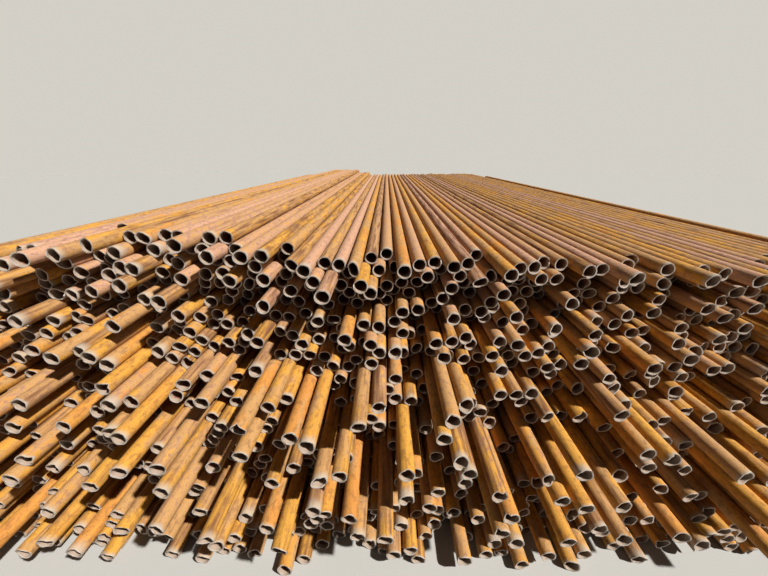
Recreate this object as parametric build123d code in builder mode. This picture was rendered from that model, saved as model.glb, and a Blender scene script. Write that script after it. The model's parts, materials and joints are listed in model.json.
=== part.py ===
from build123d import *

import heapq
import math
import os
import random
from dataclasses import dataclass

import numpy as np

# A stack of round steel tubes lying loose on level ground, all the same way.
# Millimetres. The tubes run along Y with their ragged near ends at -Y, +Z is up, and the origin
# is on the ground under the middle of the stack. Each tube is a hollow solid of its own, and
# the tubes of one course are written together.

# The tube: 2 inch nominal bore, medium wall, in six metre lengths
TUBE_OD = 60.3
TUBE_WALL = 4.5
TUBE_LENGTH = 6000.0

# How much the torch took off a full length, and how far each end is off square
SHORT_MOST = 120.0
SHORT_SHARES = (0.0, 0.375, 1.0)
CUT_ANGLES = ((0.0, 0.0), (4.0, 0.0), (8.0, 4.0), (14.0, 2.0))
CUT_WEIGHTS = (2, 4, 3, 1)

# The pile: tubes side by side on the ground, and how many courses lie on each other. Resting
# tubes are drawn a hair apart, and fanned ones are lifted a little where they would meet.
FLOOR_TUBES = 86
COURSES = 23
REST_GAP = 0.6
LEAST_GAP = 0.3
LIFT_MOST = 1.5

# The ground row lies a little loose, and it opens like a fan towards the near right corner
LOOSE_MEAN = 4.0
LOOSE_MOST = 16.0
LOOSE_LEFT_SHARE = 0.2
END_LOOSE_MEAN = 1.0
END_LOOSE_MOST = 4.0
FAN_SHARE = 0.36
FAN_LEFT_SHARE = 0.2
LAYING_SEED = 0

# A low heap lies on top, this far from the left edge of the ground row at its near end
HEAP_COURSES = 3
HEAP_MIDDLE = 1610.0
HEAP_REACH = 850.0

# The near face leans back, and hangs over a little under the top course. The ends are ragged,
# less so in the low and the top courses, and a few tubes between those stick far out.
FACE_LEAN = 500.0
FACE_RECESS = 70.0
FOOT_COURSES = 5
FOOT_SPREAD = 50.0
FACE_SPREAD = 125.0
FACE_SPREAD_MOST = 240.0
TOP_COURSES = 9
TOP_SPREAD = 80.0
LONG_SHARE = 0.12
LONG_LEAST = 20.0
LONG_MOST = 110.0
FACE_SEED = 11

TUBE_RADIUS = TUBE_OD / 2
BORE_RADIUS = TUBE_RADIUS - TUBE_WALL
PITCH = TUBE_OD + REST_GAP
CLOSEST = TUBE_OD + LEAST_GAP
REACH = TUBE_LENGTH + FACE_LEAN + FACE_RECESS + 2 * FACE_SPREAD_MOST + LONG_MOST


@dataclass
class Tube:
    """One laid tube: where its axis meets the near and the far section plane, and its course.

    near and far are complex numbers, the place across the stack and the height.
    """

    near: complex
    far: complex
    course: int
    start: float = 0.0
    roll: float = 0.0
    cut: tuple = (0.0, 0.0)
    short: float = 0.0


def floor_row():
    """The ground row, as pairs of near and far places, closest together at the far left."""
    rng = random.Random(LAYING_SEED)
    near, far = [0.0], [0.0]
    for i in range(FLOOR_TUBES - 1):
        across = i / (FLOOR_TUBES - 2)
        loose = min(rng.expovariate(1 / LOOSE_MEAN), LOOSE_MOST) * (1 - (1 - LOOSE_LEFT_SHARE) * across)
        near_loose = min(rng.expovariate(1 / END_LOOSE_MEAN), END_LOOSE_MOST)
        far_loose = min(rng.expovariate(1 / END_LOOSE_MEAN), END_LOOSE_MOST)
        near.append(near[-1] + PITCH * (1 + FAN_SHARE * across**2) + loose + near_loose)
        far.append(far[-1] + PITCH + loose + far_loose)
    shift = (near[-1] - far[-1]) * FAN_LEFT_SHARE
    return [(x - shift + 1j * TUBE_RADIUS, y + 1j * TUBE_RADIUS) for x, y in zip(near, far)]


def rests_on(own, others):
    """Where a tube rests in the hollow between the tube at own and each nearby one of others."""
    span = others - own
    width = np.abs(span)
    beside = (width > LEAST_GAP) & (width < 2 * PITCH)
    span, width, other = span[beside], width[beside], others[beside]
    upwards = span / width * np.where(span.real < 0, -1j, 1j)
    place = (own + other) / 2 + np.sqrt(PITCH**2 - width**2 / 4) * upwards
    left, right = np.minimum(own.real, other.real), np.maximum(own.real, other.real)
    held = (place.real > left + TUBE_OD / 20) & (place.real < right - TUBE_OD / 20)
    return [p for p in place[held] if np.abs(others - p).min() > CLOSEST]


def closest_pass(near, far, laid):
    """The least distance between an axis and the laid ones, each straight between the planes."""
    at_near, at_far = laid[:, 0] - near, laid[:, 1] - far
    change = at_far - at_near
    size = np.maximum(np.abs(change) ** 2, LEAST_GAP**2)
    nearest = np.clip(-(at_near * change.conj()).real / size, 0, 1)
    return np.abs(at_near + nearest * change).min()


def lifted(near, far, laid):
    """The lift that clears the laid tubes where fanned ones meet at mid length, or None."""
    short_of = CLOSEST - closest_pass(near, far, laid)
    if short_of <= 0:
        return 0.0
    lift = 1.4 * short_of
    if lift > LIFT_MOST or closest_pass(near + 1j * lift, far + 1j * lift, laid) < CLOSEST:
        return None
    return lift


def course_over(near, far, laid, courses):
    """One more than the highest course that carries a tube at either end."""
    apart = np.minimum(np.abs(laid[:, 0] - near), np.abs(laid[:, 1] - far))
    carries = (apart < PITCH + 2 * LIFT_MOST) & (near.imag - laid[:, 0].imag > TUBE_RADIUS / 2)
    return 1 + max(courses[i] for i in np.flatnonzero(carries))


def top_course(from_left):
    """The highest course at a distance from the left edge: a few more where the heap lies."""
    aside = abs(from_left - HEAP_MIDDLE) / HEAP_REACH
    return COURSES + max(0, math.floor(HEAP_COURSES * (1 - aside)))


def lay_tubes():
    """Fill the pile from the ground up, always at the lowest free hollow, course by course."""
    laid = np.array(floor_row())
    left = laid[0, 0].real
    courses = [1] * FLOOR_TUBES
    hollows = []

    def note_hollows(index):
        near, far = laid[index]
        about = laid[(np.abs(laid - laid[index]) < 2 * PITCH).any(axis=1)]
        far_rests = rests_on(far, about[:, 1])
        for n in rests_on(near, about[:, 0]):
            for f in far_rests:
                heapq.heappush(hollows, ((n.imag + f.imag) / 2, n.real, n.imag, f.real, f.imag))

    for i in range(FLOOR_TUBES):
        note_hollows(i)
    while hollows:
        _, near_x, near_z, far_x, far_z = heapq.heappop(hollows)
        near, far = complex(near_x, near_z), complex(far_x, far_z)
        lift = lifted(near, far, laid)
        if lift is None:
            continue
        near, far = near + 1j * lift, far + 1j * lift
        course = course_over(near, far, laid, courses)
        if course > top_course(near.real - left):
            continue
        laid = np.vstack([laid, (near, far)])
        courses.append(course)
        note_hollows(len(laid) - 1)
    return [Tube(near, far, course) for (near, far), course in zip(laid, courses)]


def face_at(course):
    """How far back the near face stands at a course, from 0 at the ground."""
    up = (course - 1) / (COURSES - 1)
    lean = FACE_LEAN * (1.6 * up - 0.6 * up**2)
    recess = FACE_RECESS * math.exp(-(((up - 0.86) / 0.08) ** 2))
    return lean + recess


def spread_at(course):
    """How ragged the near ends of a course are: the standard deviation of their places."""
    if course > COURSES - TOP_COURSES:
        return TOP_SPREAD
    return FOOT_SPREAD + (FACE_SPREAD - FOOT_SPREAD) * min(1, (course - 1) / FOOT_COURSES)


def cut_and_push(tubes):
    """Give every tube its cut ends, its turn about its own axis and its place along Y."""
    rng = random.Random(FACE_SEED)
    for tube in tubes:
        tube.cut = rng.choices(CUT_ANGLES, CUT_WEIGHTS)[0]
        tube.short = SHORT_MOST * rng.choice(SHORT_SHARES)
        tube.roll = rng.uniform(0, 360)
        scatter = rng.gauss(0, spread_at(tube.course))
        scatter = max(-FACE_SPREAD_MOST, min(FACE_SPREAD_MOST, scatter))
        if rng.random() < LONG_SHARE and spread_at(tube.course) == FACE_SPREAD:
            scatter = -FACE_SPREAD_MOST - rng.uniform(LONG_LEAST, LONG_MOST)
        tube.start = FACE_SPREAD_MOST + LONG_MOST + face_at(tube.course) + scatter


def axis_plane(tube):
    """The plane across a tube at its near end, turned by its roll, with its normal along it."""
    along = Vector(tube.far.real - tube.near.real, REACH, tube.far.imag - tube.near.imag)
    start = Vector(tube.near.real, 0, tube.near.imag) + along * (tube.start / REACH)
    sideways = Vector(0, 0, 1).cross(along).normalized()
    upwards = along.normalized().cross(sideways)
    roll = math.radians(tube.roll)
    return Plane(start, x_dir=sideways * math.cos(roll) + upwards * math.sin(roll), z_dir=along)


def cut_tube(cut, short):
    """A tube along +Z from the origin, with both ends cut at their angles through the axis."""
    length = TUBE_LENGTH - short
    near_angle, far_angle = cut
    spare = TUBE_RADIUS * math.tan(math.radians(max(cut))) + TUBE_WALL
    with BuildPart() as tube:
        with BuildSketch(Plane.XY.offset(-spare)):
            Circle(TUBE_RADIUS)
            Circle(BORE_RADIUS, mode=Mode.SUBTRACT)
        extrude(amount=length + 2 * spare)
        split(bisect_by=Plane.XY.rotated((near_angle, 0, 0)), keep=Keep.TOP)
        split(bisect_by=Plane.XY.offset(length).rotated((far_angle, 0, 0)), keep=Keep.BOTTOM)
    return tube.part


def middle_of(tubes, planes):
    """The point on the ground under the middle of the stack's box, from its tubes' ends."""
    ends = [plane.origin for plane in planes]
    ends += [p.origin + p.z_dir * (TUBE_LENGTH - t.short) for p, t in zip(planes, tubes)]
    across, deep = [end.X for end in ends], [end.Y for end in ends]
    return Vector((min(across) + max(across)) / 2, (min(deep) + max(deep)) / 2, 0)


tubes = lay_tubes()
cut_and_push(tubes)
planes = [axis_plane(tube) for tube in tubes]
to_origin = Location(-middle_of(tubes, planes))
shorts = [SHORT_MOST * share for share in SHORT_SHARES]
patterns = {(cut, short): cut_tube(cut, short) for cut in CUT_ANGLES for short in shorts}

# The tubes of a course never touch, so they are gathered as they lie and nothing is fused
os.makedirs("parts", exist_ok=True)
for number in sorted({tube.course for tube in tubes}):
    laid = [(tube, plane) for tube, plane in zip(tubes, planes) if tube.course == number]
    course = Compound([patterns[t.cut, t.short].moved(to_origin * p.location) for t, p in laid])
    course.label = f"tube_course_{number:02d}"
    export_step(course, f"parts/{course.label}.step")
    print(course.label, len(laid), "tubes")
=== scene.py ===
"""A loose stack of rusted steel tubes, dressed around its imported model.

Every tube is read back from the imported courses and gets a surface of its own, with torch-cut ends.
"""

import json
import logging
import math
from dataclasses import dataclass, field
from enum import Enum
from typing import Any

import bpy
import numpy as np
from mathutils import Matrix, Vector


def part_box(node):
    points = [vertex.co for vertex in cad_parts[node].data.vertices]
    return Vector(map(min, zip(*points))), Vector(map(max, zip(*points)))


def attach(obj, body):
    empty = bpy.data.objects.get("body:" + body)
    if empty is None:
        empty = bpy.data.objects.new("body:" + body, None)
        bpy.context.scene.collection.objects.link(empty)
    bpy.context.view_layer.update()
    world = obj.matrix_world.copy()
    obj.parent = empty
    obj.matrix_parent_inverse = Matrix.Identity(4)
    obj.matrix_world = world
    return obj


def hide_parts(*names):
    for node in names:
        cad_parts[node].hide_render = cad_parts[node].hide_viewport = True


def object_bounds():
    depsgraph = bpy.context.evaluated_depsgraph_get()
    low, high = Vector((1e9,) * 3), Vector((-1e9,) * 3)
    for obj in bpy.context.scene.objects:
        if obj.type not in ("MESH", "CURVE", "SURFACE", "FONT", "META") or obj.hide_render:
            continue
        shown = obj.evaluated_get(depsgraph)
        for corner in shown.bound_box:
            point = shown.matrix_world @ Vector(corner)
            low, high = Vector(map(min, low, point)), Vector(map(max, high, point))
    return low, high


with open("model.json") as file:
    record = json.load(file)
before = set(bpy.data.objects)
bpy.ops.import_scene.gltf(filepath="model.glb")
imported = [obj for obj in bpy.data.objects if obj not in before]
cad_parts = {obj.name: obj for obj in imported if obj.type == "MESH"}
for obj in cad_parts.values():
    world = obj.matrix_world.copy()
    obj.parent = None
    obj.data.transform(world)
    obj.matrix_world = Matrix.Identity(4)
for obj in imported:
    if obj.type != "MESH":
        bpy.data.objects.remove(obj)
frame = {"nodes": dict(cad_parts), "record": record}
cad_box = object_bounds()

LOG = logging.getLogger("tube_stack")
MM = 0.001
BODY = "root"
GROUND_ROW = "tube_course_01"

# How much more tan and pink the top course is, and the power of the height by which the lower ones have
# less of it
TOP_PALENESS = 0.6
PALENESS_POWER = 3

# A colour Mix node's sockets by number, because it has hidden ones of the same names
MIX_SHARE, MIX_UNDER, MIX_OVER, MIX_RESULT = 0, 6, 7, 2


def linear(hex_colour: str) -> tuple[float, float, float, float]:
    """Turn an sRGB hex colour into linear light, by the standard curve.

    Args:
        hex_colour: Six hex digits, as in "C98A45".

    Returns:
        Red, green, blue and an alpha of 1.
    """
    parts = [int(hex_colour[i : i + 2], 16) / 255 for i in (0, 2, 4)]
    light = [c / 12.92 if c <= 0.04045 else ((c + 0.055) / 1.055) ** 2.4 for c in parts]
    return (light[0], light[1], light[2], 1.0)


def add_node(
    tree: bpy.types.NodeTree, kind: str, links: dict[Any, Any], **settings: Any
) -> bpy.types.Node:
    """Add one node, with its settings, socket values and incoming links.

    Args:
        tree: The node tree.
        kind: The node's type, without the ShaderNode in front.
        links: Input socket to an output socket to link, or to a plain value.
        **settings: Properties of the node itself.

    Returns:
        The new node.
    """
    node = tree.nodes.new("ShaderNode" + kind)
    for name, value in settings.items():
        setattr(node, name, value)
    for socket, value in links.items():
        if isinstance(value, bpy.types.NodeSocket):
            tree.links.new(value, node.inputs[socket])
        else:
            node.inputs[socket].default_value = value
    return node


@dataclass
class CourseReading:
    """Where the tubes of one packed course lie, one row for each tube, in metres.

    A slant holds how far along the cut runs for each metre across and upward.
    """

    near: np.ndarray
    along: np.ndarray
    across: np.ndarray
    upward: np.ndarray
    length: np.ndarray
    near_slant: np.ndarray
    far_slant: np.ndarray

    @property
    def count(self) -> int:
        """How many tubes the course has."""
        return len(self.near)


@dataclass
class Corners:
    """The corners of a packed course, and the number of the tube that each is on."""

    points: np.ndarray
    tube: np.ndarray
    count: int

    def total(self, values: np.ndarray) -> np.ndarray:
        """The sum of the values of each tube's corners."""
        return np.bincount(self.tube, weights=values, minlength=self.count)

    def mean_point(self, chosen: np.ndarray) -> np.ndarray:
        """The mean of each tube's chosen corners, one row for each tube."""
        number = self.total(chosen.astype(float))
        return np.stack([self.total(column * chosen) / number for column in self.points.T], 1)

    def in_tube(self, near: np.ndarray, *axes: np.ndarray) -> tuple[np.ndarray, ...]:
        """Each corner's place along each axis of its own tube, from the middle of the near end."""
        offset = self.points - near[self.tube]
        return tuple((offset * axis[self.tube]).sum(1) for axis in axes)

    def fit(
        self, side: np.ndarray, rise: np.ndarray, value: np.ndarray, chosen: np.ndarray
    ) -> np.ndarray:
        """Fit value = a * side + b * rise + c to each tube's chosen corners by least squares.

        Args:
            side: Each corner's place across its tube.
            rise: Its place upward.
            value: What is fitted.
            chosen: Which corners count.

        Returns:
            a, b and c, one row for each tube.
        """
        terms = np.stack([side, rise, np.ones_like(side)], 1) * chosen[:, None]
        matrix = np.empty((self.count, 3, 3))
        target = np.empty((self.count, 3, 1))
        for i in range(3):
            target[:, i, 0] = self.total(terms[:, i] * value)
            for j in range(3):
                matrix[:, i, j] = self.total(terms[:, i] * terms[:, j])
        return np.linalg.solve(matrix, target)[:, :, 0]


@dataclass
class CourseReader:
    """Finds each tube's axis and cuts in the triangles of a packed course.

    outer and bore are a tube's radii. Corners that share a cell of merge_step are one corner, and
    each axis is fitted as many times as fits says.
    """

    outer: float
    bore: float
    merge_step: float = 0.01 * MM
    fits: int = 2

    def read(self, node: bpy.types.Object) -> CourseReading:
        """Fit an axis and two cut planes to every solid of a course.

        A circle through the outer corners of each end gives the axis, and a plane through all
        corners of that end gives the cut. A circle's middle is half of a and b, where the sum of
        the squares of side and rise is a * side + b * rise + c.

        Args:
            node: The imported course.

        Returns:
            The tubes' places.
        """
        corners = self.corners(node.data)
        middle = corners.mean_point(np.ones(len(corners.points), bool))
        is_near = corners.points[:, 1] < middle[corners.tube, 1]
        near, far = corners.mean_point(is_near), corners.mean_point(~is_near)
        for _ in range(self.fits):
            across, upward, _ = self.axes(near, far)
            side, rise = corners.in_tube(near, across, upward)
            is_outer = np.hypot(side, rise) > (self.outer + self.bore) / 2
            square = side**2 + rise**2
            near_fit = corners.fit(side, rise, square, is_near & is_outer) / 2
            far_fit = corners.fit(side, rise, square, ~is_near & is_outer) / 2
            near = near + across * near_fit[:, 0:1] + upward * near_fit[:, 1:2]
            far = far + across * far_fit[:, 0:1] + upward * far_fit[:, 1:2]
        across, upward, along = self.axes(near, far)
        side, rise, depth = corners.in_tube(near, across, upward, along)
        near_cut = corners.fit(side, rise, depth, is_near)
        far_cut = corners.fit(side, rise, depth, ~is_near)
        return CourseReading(
            near=near + along * near_cut[:, 2:],
            along=along,
            across=across,
            upward=upward,
            length=far_cut[:, 2] - near_cut[:, 2],
            near_slant=near_cut[:, :2],
            far_slant=far_cut[:, :2],
        )

    def corners(self, mesh: bpy.types.Mesh) -> Corners:
        """Read a mesh's corners, with equal ones made one, and number its solids.

        Args:
            mesh: Loose triangles.

        Returns:
            The corners, with the number of the tube that each is on.
        """
        flat = np.empty(3 * len(mesh.vertices), np.float32)
        mesh.vertices.foreach_get("co", flat)
        loops = np.empty(len(mesh.loops), np.int32)
        mesh.loops.foreach_get("vertex_index", loops)
        points = flat.reshape(-1, 3).astype(float)
        cells = np.round(points / self.merge_step).astype(np.int64)
        _, first, same = np.unique(cells, axis=0, return_index=True, return_inverse=True)
        triangles = same.reshape(-1)[loops].reshape(-1, 3)
        tube = self.solid_numbers(len(first), triangles)
        return Corners(points[first], tube, int(tube.max()) + 1)

    @staticmethod
    def solid_numbers(corner_count: int, triangles: np.ndarray) -> np.ndarray:
        """Number the solids that triangles make up.

        Each corner starts with its own number as its label. Each triangle hands its lowest label to
        its corners, and each label is swapped for its own label, until none changes.

        Args:
            corner_count: How many corners there are.
            triangles: Three corners in each row.

        Returns:
            The number of the solid that each corner is on.
        """
        label = np.arange(corner_count)
        settled = False
        while not settled:
            lowest = label.copy()
            np.minimum.at(lowest, triangles.ravel(), np.repeat(label[triangles].min(axis=1), 3))
            lowest = lowest[lowest]
            settled = np.array_equal(lowest, label)
            label = lowest
        return np.unique(label, return_inverse=True)[1].reshape(-1)

    @staticmethod
    def axes(near: np.ndarray, far: np.ndarray) -> tuple[np.ndarray, np.ndarray, np.ndarray]:
        """The directions of each tube: across is level, and each is square to the other two.

        Args:
            near: The middles of the near ends.
            far: The middles of the far ends.

        Returns:
            Unit vectors across, upward and along.
        """
        along = far - near
        along /= np.linalg.norm(along, axis=1)[:, None]
        across = np.cross(along, (0.0, 0.0, 1.0))
        across /= np.linalg.norm(across, axis=1)[:, None]
        return across, np.cross(across, along), along


class Wall(Enum):
    """Which face of a tube a ring of points lies on, as its share of the wall's thickness."""

    INSIDE = 0.0
    CUT = 0.5
    OUTSIDE = 1.0


class End(Enum):
    """The end of a tube that a ring of points is measured from."""

    NEAR = 0
    FAR = 1


@dataclass(frozen=True)
class Rings:
    """The rings of points round a tube, one in each row.

    The last axis of the walls and the distances is one long, for the angles round a ring.
    """

    end: np.ndarray
    wall: np.ndarray
    from_end_mm: np.ndarray

    @property
    def is_far(self) -> np.ndarray:
        """Whether a ring is measured from the far end."""
        return self.end[:, None] == End.FAR.value

    @property
    def at_cut(self) -> np.ndarray:
        """Whether a ring lies on the cut."""
        return self.from_end_mm == 0


def tube_rings() -> Rings:
    """The rings of a tube: out along its outside, over the far cut, back through its bore.

    They are closest together at the ends, and most of them are at the near end.

    Returns:
        The rings in that order, which runs round and closes.
    """
    distances_mm = (
        (End.NEAR, Wall.OUTSIDE, (0.0, 2.5, 25.0, 90.0, 250.0)),
        (End.FAR, Wall.OUTSIDE, (90.0, 3.0, 0.0)),
        (End.FAR, Wall.INSIDE, (0.0, 60.0)),
        (End.NEAR, Wall.INSIDE, (60.0, 3.0, 0.0)),
        (End.NEAR, Wall.CUT, (0.0,)),
    )
    rows = [(end.value, wall.value, mm) for end, wall, distances in distances_mm for mm in distances]
    end, wall, from_end_mm = np.array(rows).T
    return Rings(end.astype(int), wall[:, None], from_end_mm[:, None])


@dataclass
class TorchCut:
    """How the torch left the ends: a wavy edge, a notch here and there, and some pinched mouths.

    The waves are in order, from two round the edge to six, and each end has its own size of each. A
    share says how many ends have it, a least is a part of the size it belongs to, a width is in
    radians, and a reach or a fade is how far from the end it shows.
    """

    wave_mm: tuple[float, ...] = (1.1, 0.8, 0.6, 0.4, 0.3)
    wave_spread: float = 0.4
    grit_mm: float = 0.8
    notch_share: float = 0.3
    notch_mm: float = 13.0
    notch_least: float = 0.3
    notch_width: float = 0.24
    lip_mm: float = 0.7
    oval_share: float = 0.25
    oval_most: float = 0.06
    pinch_share: float = 0.04
    pinch_most: float = 0.3
    pinch_least: float = 0.5
    inward_more: float = 0.35
    oval_reach_mm: float = 70.0
    fade_mm: float = 60.0
    scale_mm: float = 0.3
    scale_reach_mm: float = 40.0

    def inset(self, count: int, theta: np.ndarray, rng: np.random.Generator) -> np.ndarray:
        """How far each cut edge stands back from the flat cut, never ahead of it.

        The sum of cosines of 2 to 6 times the angle, each with a random phase and size, plus a bell
        shaped notch in some tubes and a little grit, less its own lowest value.

        Args:
            count: How many tubes.
            theta: The angles round a tube.
            rng: The source of random numbers.

        Returns:
            Metres, one row for each tube and one column for each angle.
        """
        each = (count, 1)
        back = rng.uniform(-self.grit_mm, self.grit_mm, (count, len(theta)))
        for order, size in enumerate(self.wave_mm, 2):
            phase = rng.uniform(0, 2 * math.pi, each)
            height = size * rng.lognormal(0, self.wave_spread, each)
            back = back + height * np.cos(order * theta + phase)
        middle = rng.uniform(0, 2 * math.pi, each)
        away = np.angle(np.exp(1j * (theta - middle)))
        depth = self.notch_mm * rng.uniform(self.notch_least, 1.0, each)
        depth = depth * (rng.random(each) < self.notch_share)
        back = back + depth * np.exp(-((away / self.notch_width) ** 2))
        return (back - back.min(axis=1, keepdims=True)) * MM

    def squeeze(self, count: int, theta: np.ndarray, rng: np.random.Generator) -> np.ndarray:
        """How much wider or narrower each mouth is, as a share of its radius.

        A cosine of twice the angle from a random one, lowered so that a mouth is pressed in further
        than it bulges out, times a size that is zero for most tubes.

        Args:
            count: How many tubes.
            theta: The angles round a tube.
            rng: The source of random numbers.

        Returns:
            Shares, one row for each tube and one column for each angle.
        """
        each = (count, 1)
        size = self.oval_most * rng.random(each) * (rng.random(each) < self.oval_share)
        pinched = rng.random(each) < self.pinch_share
        size = np.where(pinched, self.pinch_most * rng.uniform(self.pinch_least, 1.0, each), size)
        phase = rng.uniform(0, math.pi, each)
        return size * (np.cos(2 * (theta - phase)) - self.inward_more) / (1 + self.inward_more)


@dataclass
class DressedCourse:
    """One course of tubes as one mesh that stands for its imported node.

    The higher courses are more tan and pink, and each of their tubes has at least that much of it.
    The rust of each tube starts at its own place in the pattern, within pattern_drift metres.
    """

    node_name: str
    reader: CourseReader
    finish: bpy.types.Material
    seed: int
    paleness: float
    around: int = 20
    sharp_deg: float = 40.0
    pattern_drift: float = 40.0
    rings: Rings = field(default_factory=tube_rings)
    cut: TorchCut = field(default_factory=TorchCut)

    def build(self) -> bpy.types.Object:
        """Make the course's mesh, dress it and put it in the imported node's place.

        Returns:
            The new piece.
        """
        reading = self.reader.read(frame["nodes"][self.node_name])
        rng = np.random.default_rng(self.seed)
        side, rise, depth = self.shape(reading, rng)
        mesh = self.mesh(self.placed(reading, side, rise, depth))
        for name, values in self.marks(side, rise, depth, rng).items():
            is_vector = values.ndim > depth.ndim
            mark = mesh.attributes.new(name, "FLOAT_VECTOR" if is_vector else "FLOAT", "POINT")
            mark.data.foreach_set("vector" if is_vector else "value", values.astype(np.float32).ravel())
        mesh.materials.append(self.finish)
        piece = bpy.data.objects.new(self.node_name.replace("tube_course", "tubes_in_course"), mesh)
        bpy.context.scene.collection.objects.link(piece)
        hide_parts(self.node_name)
        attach(piece, BODY)
        LOG.info("%s: %d tubes, %d faces", piece.name, reading.count, len(mesh.polygons))
        return piece

    def shape(
        self, reading: CourseReading, rng: np.random.Generator
    ) -> tuple[np.ndarray, np.ndarray, np.ndarray]:
        """The surface of every tube, on a grid of rings and angles.

        Side and rise are the radius times the cosine and the sine of the angle. The radius is the
        wall's own, squeezed at the mouths, less a thin uneven scale near the ends. Depth is the
        ring's own, plus the cut's slant and its ragged edge, which both fade with the distance from
        the end.

        Args:
            reading: The tubes' places.
            rng: The source of random numbers.

        Returns:
            Side, rise and depth, in metres across, upward and along from the middle of the near end.
        """
        rings, cut = self.rings, self.cut
        count = reading.count
        grid = (count, len(rings.end), self.around)
        theta = np.arange(self.around) * 2 * math.pi / self.around
        keep = np.exp(-rings.from_end_mm / cut.fade_mm)

        inset = np.stack([cut.inset(count, theta, rng) for _ in End], 1)[:, rings.end]
        lip = cut.lip_mm * MM * rng.random(grid)
        inset = inset + lip * (rings.at_cut & (rings.wall < Wall.OUTSIDE.value))
        squeeze = np.stack([cut.squeeze(count, theta, rng) for _ in End], 1)[:, rings.end]
        squeeze = squeeze * np.exp(-((rings.from_end_mm / cut.oval_reach_mm) ** 2))

        radius = self.reader.bore + (self.reader.outer - self.reader.bore) * rings.wall
        scale = np.abs(rng.uniform(-1, 1, grid) * cut.scale_mm * MM)
        radius = radius * (1 + squeeze) - scale * (rings.from_end_mm < cut.scale_reach_mm)
        side, rise = radius * np.cos(theta), radius * np.sin(theta)

        slant = np.where(rings.is_far, reading.far_slant[:, None], reading.near_slant[:, None])
        tilt = slant[:, :, :1] * side + slant[:, :, 1:] * rise
        start = np.where(rings.is_far, reading.length[:, None, None], 0.0)
        inward = np.where(rings.is_far, -1.0, 1.0)
        return side, rise, start + inward * (rings.from_end_mm * MM + inset * keep) + tilt * keep

    @staticmethod
    def placed(
        reading: CourseReading, side: np.ndarray, rise: np.ndarray, depth: np.ndarray
    ) -> np.ndarray:
        """Put the surfaces in their places, as near + depth * along + side * across + rise * upward.

        Args:
            reading: The tubes' places.
            side: Metres across each tube.
            rise: Metres upward.
            depth: Metres along it.

        Returns:
            A grid of points, none of them below the ground.
        """
        points = reading.near[:, None, None]
        for metres, axis in ((depth, reading.along), (side, reading.across), (rise, reading.upward)):
            points = points + metres[..., None] * axis[:, None, None]
        points[..., 2] = np.maximum(points[..., 2], 0.0)
        return points

    def marks(
        self, side: np.ndarray, rise: np.ndarray, depth: np.ndarray, rng: np.random.Generator
    ) -> dict[str, np.ndarray]:
        """What the rust needs to know of each point.

        Args:
            side: Metres across each tube.
            rise: Metres upward.
            depth: Metres along it.
            rng: The source of random numbers.

        Returns:
            The place in the pattern, the tube's own three tones, the metres from the end, how far
            in the wall the point is, and whether it is on the cut.
        """
        drift = rng.uniform(0, self.pattern_drift, (len(depth), 1, 1))
        whole = np.ones_like(depth)
        tone = rng.random((len(depth), 1, 1, 3)) * whole[..., None]
        # Higher courses get more tan and pink
        tone[..., 0] += self.paleness
        return {
            "tube_place": np.stack([side, rise, depth + drift], -1),
            "tube_tone": tone,
            "from_end": self.rings.from_end_mm * MM * whole,
            "in_bore": (1 - self.rings.wall) * whole,
            "at_cut": self.rings.at_cut * whole,
        }

    def mesh(self, points: np.ndarray) -> bpy.types.Mesh:
        """Join points into quads, from each ring to the next and each angle to the next.

        Both run round, so the surface of a tube is closed.

        Args:
            points: A grid of tubes, rings and angles.

        Returns:
            The mesh, smooth but for the edges of the cuts.
        """
        grid = np.arange(points[..., 0].size).reshape(points.shape[:-1])
        next_ring = np.roll(grid, -1, axis=1)
        sides = (grid, next_ring, np.roll(next_ring, -1, axis=2), np.roll(grid, -1, axis=2))
        quads = np.stack(sides, -1).reshape(-1, 4)
        mesh = bpy.data.meshes.new(self.node_name + "_dressed")
        mesh.vertices.add(grid.size)
        mesh.vertices.foreach_set("co", points.astype(np.float32).ravel())
        mesh.loops.add(quads.size)
        mesh.loops.foreach_set("vertex_index", quads.astype(np.int32).ravel())
        mesh.polygons.add(len(quads))
        mesh.polygons.foreach_set("loop_start", np.arange(0, quads.size, 4, dtype=np.int32))
        mesh.polygons.foreach_set("use_smooth", np.ones(len(quads), bool))
        mesh.update(calc_edges=True)
        mesh.set_sharp_from_angle(angle=math.radians(self.sharp_deg))
        return mesh


@dataclass(frozen=True)
class Pattern:
    """Noise of a real size across a tube, so many times longer along it, with so many finer layers."""

    size_mm: float
    stretch: float
    layers: float


@dataclass(frozen=True)
class Coat:
    """A colour, and where it shows.

    A value plus so much of a second one passes a smooth step, from none at start to most at full.
    """

    colour: str
    start: float
    full: float
    second: float = 0.0
    most: float = 1.0


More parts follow.
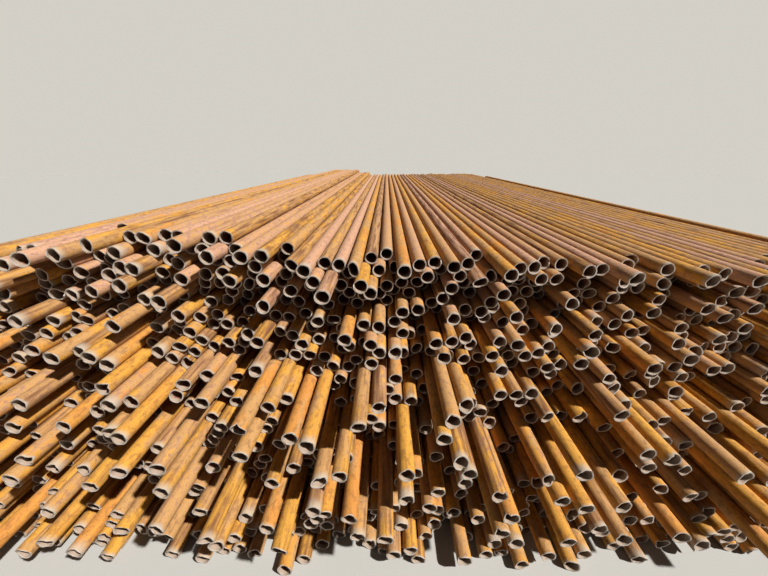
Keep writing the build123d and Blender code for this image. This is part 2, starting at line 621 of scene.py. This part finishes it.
@dataclass(frozen=True)
class RustedSteel:
    """Hot-rolled steel left out in the rain for years.

    Rust gives it an even, matt orange skin with browner clouds and long streaks where water ran.
    The torch burnt the last few centimetres of each end to a pale ash, and the cut edge is bare.
    """

    clouds: Pattern = Pattern(50.0, stretch=3.0, layers=3.0)
    mottle: Pattern = Pattern(16.0, stretch=1.5, layers=4.0)
    streaks: Pattern = Pattern(15.0, stretch=12.0, layers=3.0)
    # Real specks are finer, and are drawn this coarse so that they show
    specks: Pattern = Pattern(3.5, stretch=1.3, layers=2.0)

    # The rust, and the coats of colour over it
    orange: str = "BE872D"
    red: Coat = Coat("B26D34", start=0.18, full=0.5, second=-0.6, most=0.6)
    tan: Coat = Coat("AC804B", start=2.3, full=2.9, second=4.0)
    pink: Coat = Coat("B68A70", start=1.85, full=2.6, second=2.0)
    brown: Coat = Coat("6A4224", start=1.65, full=2.5, second=2.2)
    stains: Coat = Coat("6A4224", start=0.48, full=0.68, most=0.45)
    scale: Coat = Coat("4E2F1D", start=0.56, full=0.7, most=0.5)
    # The bore's brown is darker than the rust outside: partly rust, partly painted shade of the tube's
    # dark inside
    bore: str = "7C543C"
    edge: Coat = Coat("B6ADA3", start=0.3, full=0.55, most=0.85)

    # The ash, and how far it goes in from the end. The mottle takes up to burnt_ragged_mm off that
    # distance, so the ash is full where less than nothing is left.
    ash: str = "A89B88"
    ash_most: float = 0.8
    # Less ash shows in the bore: painted shade of the tube's dark inside
    bore_shade_less_ash: float = 0.22
    burnt_least_mm: float = 3.0
    burnt_more_mm: float = 46.0
    burnt_inside_mm: float = 15.0
    burnt_ragged_mm: float = 20.0
    burnt_full_mm: float = -12.0
    burnt_power: float = 3.0

    # The dull skin, and its pits: the specks, plus so much of the mottle
    roughness: float = 0.86
    pit_mm: float = 1.5
    pit_strength: float = 0.5
    pit_mottle: float = 1.5

    def material(self) -> bpy.types.Material:
        """Build the node tree.

        Returns:
            The material.
        """
        mat = bpy.data.materials.new("rusted_hot_rolled_steel")
        mat.use_nodes = True
        tree = mat.node_tree
        tree.nodes.clear()
        tones = add_node(tree, "Attribute", {}, attribute_name="tube_tone").outputs["Vector"]
        in_bore = add_node(tree, "Attribute", {}, attribute_name="in_bore").outputs["Fac"]
        at_cut = add_node(tree, "Attribute", {}, attribute_name="at_cut").outputs["Fac"]
        tone = add_node(tree, "SeparateXYZ", {0: tones}).outputs
        patterns = (self.clouds, self.mottle, self.streaks, self.specks)
        clouds, mottle, streaks, specks = (self.drawn(tree, pattern) for pattern in patterns)

        rust = (
            (self.red, streaks, tone["Y"]),
            (self.tan, tone["X"], clouds),
            (self.pink, tone["X"], mottle),
            (self.brown, tone["Y"], streaks),
            (self.stains, mottle, 0.0),
            (self.scale, specks, 0.0),
        )
        coats = [
            (self.shown(tree, coat, value, second), linear(coat.colour)) for coat, value, second in rust
        ]
        flecks, dark = coats[-1]
        # The bore's darker brown with scale flecks: partly rust, partly painted shade of the inside
        mixed = {MIX_SHARE: flecks, MIX_UNDER: linear(self.bore), MIX_OVER: dark}
        bore_rust_and_shade = add_node(tree, "Mix", mixed, data_type="RGBA").outputs[MIX_RESULT]
        bared = {0: at_cut, 1: self.shown(tree, self.edge, mottle, 0.0)}
        bare = add_node(tree, "Math", bared, operation="MULTIPLY").outputs[0]
        coats += [
            (in_bore, bore_rust_and_shade),
            (self.burnt(tree, mottle, tone["Z"], in_bore), linear(self.ash)),
            (bare, linear(self.edge.colour)),
        ]
        colour = linear(self.orange)
        for share, over in coats:
            mixed = {MIX_SHARE: share, MIX_UNDER: colour, MIX_OVER: over}
            colour = add_node(tree, "Mix", mixed, data_type="RGBA").outputs[MIX_RESULT]

        rough = {0: mottle, 1: self.pit_mottle, 2: specks}
        height = add_node(tree, "Math", rough, operation="MULTIPLY_ADD").outputs[0]
        pits = {"Height": height, "Strength": self.pit_strength, "Distance": self.pit_mm * MM}
        normal = add_node(tree, "Bump", pits).outputs[0]
        skin = {"Base Color": colour, "Roughness": self.roughness, "Metallic": 0.0, "Normal": normal}
        shader = add_node(tree, "BsdfPrincipled", skin)
        add_node(tree, "OutputMaterial", {"Surface": shader.outputs[0]})
        return mat

    @staticmethod
    def drawn(tree: bpy.types.NodeTree, pattern: Pattern) -> bpy.types.NodeSocket:
        """Draw a pattern at its real size, on each tube's own place.

        Args:
            tree: The node tree.
            pattern: The pattern.

        Returns:
            Its value, about a half on average.
        """
        place = add_node(tree, "Attribute", {}, attribute_name="tube_place").outputs["Vector"]
        across = 1 / (pattern.size_mm * MM)
        scale = (across, across, across / pattern.stretch)
        sized = add_node(tree, "Mapping", {"Vector": place, "Scale": scale}).outputs[0]
        noise = {"Vector": sized, "Scale": 1.0, "Detail": pattern.layers}
        return add_node(tree, "TexNoise", noise).outputs[0]

    @staticmethod
    def shown(tree: bpy.types.NodeTree, coat: Coat, value: Any, second: Any) -> bpy.types.NodeSocket:
        """How much of a coat shows: a smooth step of the value and its part of a second one.

        Args:
            tree: The node tree.
            coat: The coat.
            value: The first value.
            second: The second value, which only counts where the coat takes some of it.

        Returns:
            The share, from 0 to the coat's most.
        """
        if coat.second:
            both = {0: second, 1: coat.second, 2: value}
            value = add_node(tree, "Math", both, operation="MULTIPLY_ADD").outputs[0]
        step = {"Value": value, "From Min": coat.start, "From Max": coat.full, "To Max": coat.most}
        return add_node(tree, "MapRange", step, interpolation_type="SMOOTHSTEP").outputs[0]

    def burnt(
        self,
        tree: bpy.types.NodeTree,
        mottle: bpy.types.NodeSocket,
        tone: bpy.types.NodeSocket,
        in_bore: bpy.types.NodeSocket,
    ) -> bpy.types.NodeSocket:
        """How much ash the flame left, by the distance from the end.

        The flame burnt further into the bore than along the outside. It burnt few tubes far, because
        a power of the tone says how far. Less ash shows in the bore, as painted shade of its dark
        inside.

        Args:
            tree: The node tree.
            mottle: The pattern that makes the burnt part's line ragged.
            tone: The tube's own tone, from 0 to 1.
            in_bore: 1 in the bore and 0 outside.

        Returns:
            The share of ash.
        """
        from_end = add_node(tree, "Attribute", {}, attribute_name="from_end").outputs["Fac"]
        least = (self.burnt_least_mm - self.burnt_ragged_mm / 2) * MM
        few = add_node(tree, "Math", {0: tone, 1: self.burnt_power}, operation="POWER").outputs[0]
        # Each sum is the first times the second, plus the third
        sums = (
            (mottle, -self.burnt_ragged_mm * MM, from_end),
            (few, self.burnt_more_mm * MM, least),
            # Less ash in the bore is painted shade of its inside
            (in_bore, -self.bore_shade_less_ash, self.ash_most),
        )
        ragged, burnt, most = (
            add_node(tree, "Math", dict(enumerate(row)), operation="MULTIPLY_ADD").outputs[0]
            for row in sums
        )
        inwards = {0: in_bore, 1: -self.burnt_inside_mm * MM, 2: ragged}
        reach = add_node(tree, "Math", inwards, operation="MULTIPLY_ADD").outputs[0]
        step = {"Value": reach, "From Min": burnt, "From Max": self.burnt_full_mm * MM, "To Max": most}
        return add_node(tree, "MapRange", step, interpolation_type="SMOOTHSTEP").outputs[0]


@dataclass
class Studio:
    """A plain pale floor and backdrop, a high key light from the near right, and the camera.

    Lengths are in metres. The eye stands eye_from_left in from the left edge of the ground row, and
    eye_gap before its near ends.
    """

    floor_reach: float = 40.0
    floor_roughness: float = 0.95
    dome_radius: float = 38.0
    dome_sides: int = 96
    dome_rings: int = 25
    floor_colour: str = "A5A29B"
    sky_colour: str = "DDE4EE"
    sky_strength: float = 0.1
    key_strength: float = 6.8
    key_softness_deg: float = 2.0
    key_height_deg: float = 50.0
    key_turn_deg: float = 68.0
    eye_height: float = 1.555
    eye_gap: float = 0.685
    eye_from_left: float = 2.55
    eye_pitch_deg: float = 24.5
    lens_mm: float = 13.5
    nearest_seen: float = 0.05

    def build(self, ground: CourseReading) -> None:
        """Make the floor, the backdrop, the lights and the camera.

        Args:
            ground: The ground row, which the camera stands before.
        """
        self.floor()
        self.backdrop()
        self.lights()
        self.camera(float(ground.near[:, 0].min()), float(ground.near[:, 1].mean()))

    def floor(self) -> None:
        """A flat pale floor that runs out past the backdrop."""
        far = self.floor_reach
        corners = [(-far, -far, 0), (far, -far, 0), (far, far, 0), (-far, far, 0)]
        paint = {
            "Base Color": linear(self.floor_colour),
            "Roughness": self.floor_roughness,
            "Specular IOR Level": 0.0,
        }
        self.staged("floor", corners, [(0, 1, 2, 3)], "pale_matt_floor", paint)

    def backdrop(self) -> None:
        """A pale half sphere over everything that lights nothing, as rings of points at rising angles.

        It glows as bright as the lit floor, so the two run into each other: the key light's strength
        times the sine of its height over pi, plus the sky's, times the floor's colour.
        """
        turn = np.linspace(0, 2 * math.pi, self.dome_sides + 1)[:-1]
        rise = np.linspace(0, math.pi / 2, self.dome_rings)[:, None]
        ring = (np.cos(rise) * np.cos(turn), np.cos(rise) * np.sin(turn), np.sin(rise))
        points = np.stack(np.broadcast_arrays(*ring), -1) * self.dome_radius
        grid = np.arange(points[..., 0].size).reshape(points.shape[:-1])
        after = np.roll(grid, -1, axis=1)
        quads = np.stack([grid[:-1], grid[1:], after[1:], after[:-1]], -1).reshape(-1, 4)
        lit = self.key_strength * math.sin(math.radians(self.key_height_deg)) / math.pi
        lit += self.sky_strength * linear(self.sky_colour)[1]
        paint = {
            "Base Color": (0, 0, 0, 1),
            "Specular IOR Level": 0.0,
            "Emission Color": linear(self.floor_colour),
            "Emission Strength": lit,
        }
        points = points.reshape(-1, 3).tolist()
        dome = self.staged("backdrop", points, quads.tolist(), "pale_glowing_backdrop", paint)
        dome.visible_diffuse = False
        dome.visible_glossy = False
        dome.visible_shadow = False

    @staticmethod
    def staged(
        name: str, points: list[Any], faces: list[Any], finish: str, paint: dict[str, Any]
    ) -> bpy.types.Object:
        """Add a piece of the studio, which isn't part of the stack.

        Args:
            name: Its name.
            points: Its corners.
            faces: The corners of each face.
            finish: Its material's name.
            paint: What that material's sockets are set to.

        Returns:
            The piece.
        """
        mesh = bpy.data.meshes.new(name)
        mesh.from_pydata(points, [], faces)
        mat = bpy.data.materials.new(finish)
        mat.use_nodes = True
        for socket, value in paint.items():
            mat.node_tree.nodes["Principled BSDF"].inputs[socket].default_value = value
        mesh.materials.append(mat)
        piece = bpy.data.objects.new(name, mesh)
        bpy.context.scene.collection.objects.link(piece)
        return piece

    def lights(self) -> None:
        """A weak pale sky all round, and the key light.

        The key light's turn is from straight before the near face, towards the right.
        """
        world = bpy.data.worlds.new("studio_sky")
        world.use_nodes = True
        sky = world.node_tree.nodes["Background"]
        sky.inputs["Color"].default_value = linear(self.sky_colour)
        sky.inputs["Strength"].default_value = self.sky_strength
        bpy.context.scene.world = world
        key = bpy.data.lights.new("key", "SUN")
        key.energy = self.key_strength
        key.angle = math.radians(self.key_softness_deg)
        lamp = bpy.data.objects.new("key", key)
        tip, turn = math.radians(90 - self.key_height_deg), math.radians(self.key_turn_deg)
        lamp.rotation_euler = (tip, 0, turn)
        bpy.context.scene.collection.objects.link(lamp)

    def camera(self, left_x: float, face_y: float) -> None:
        """Put the camera at a standing person's eye, close before the near face.

        Args:
            left_x: The left edge of the ground row.
            face_y: Where its near ends stand on average.
        """
        lens = bpy.data.cameras.new("camera")
        lens.lens = self.lens_mm
        lens.clip_start = self.nearest_seen
        eye = bpy.data.objects.new("camera", lens)
        eye.location = (left_x + self.eye_from_left, face_y - self.eye_gap, self.eye_height)
        eye.rotation_euler = (math.radians(90 - self.eye_pitch_deg), 0, 0)
        bpy.context.scene.collection.objects.link(eye)
        bpy.context.scene.camera = eye


def main() -> None:
    """Dress every course, then build the studio round the stack."""
    logging.basicConfig(level=logging.INFO, format="%(message)s")
    low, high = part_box(GROUND_ROW)
    bore_mount = frame["record"]["mounts"][0]
    reader = CourseReader(outer=(high.z - low.z) / 2, bore=bore_mount["dims"]["r_mm"] * MM)
    finish = RustedSteel().material()
    for number, name in enumerate(sorted(frame["nodes"])):
        paleness = TOP_PALENESS * (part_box(name)[1].z / cad_box[1].z) ** PALENESS_POWER
        DressedCourse(name, reader, finish, seed=number, paleness=paleness).build()
    Studio().build(reader.read(frame["nodes"][GROUND_ROW]))
    bpy.context.scene.view_settings.view_transform = "Standard"


if __name__ == "__main__":
    main()
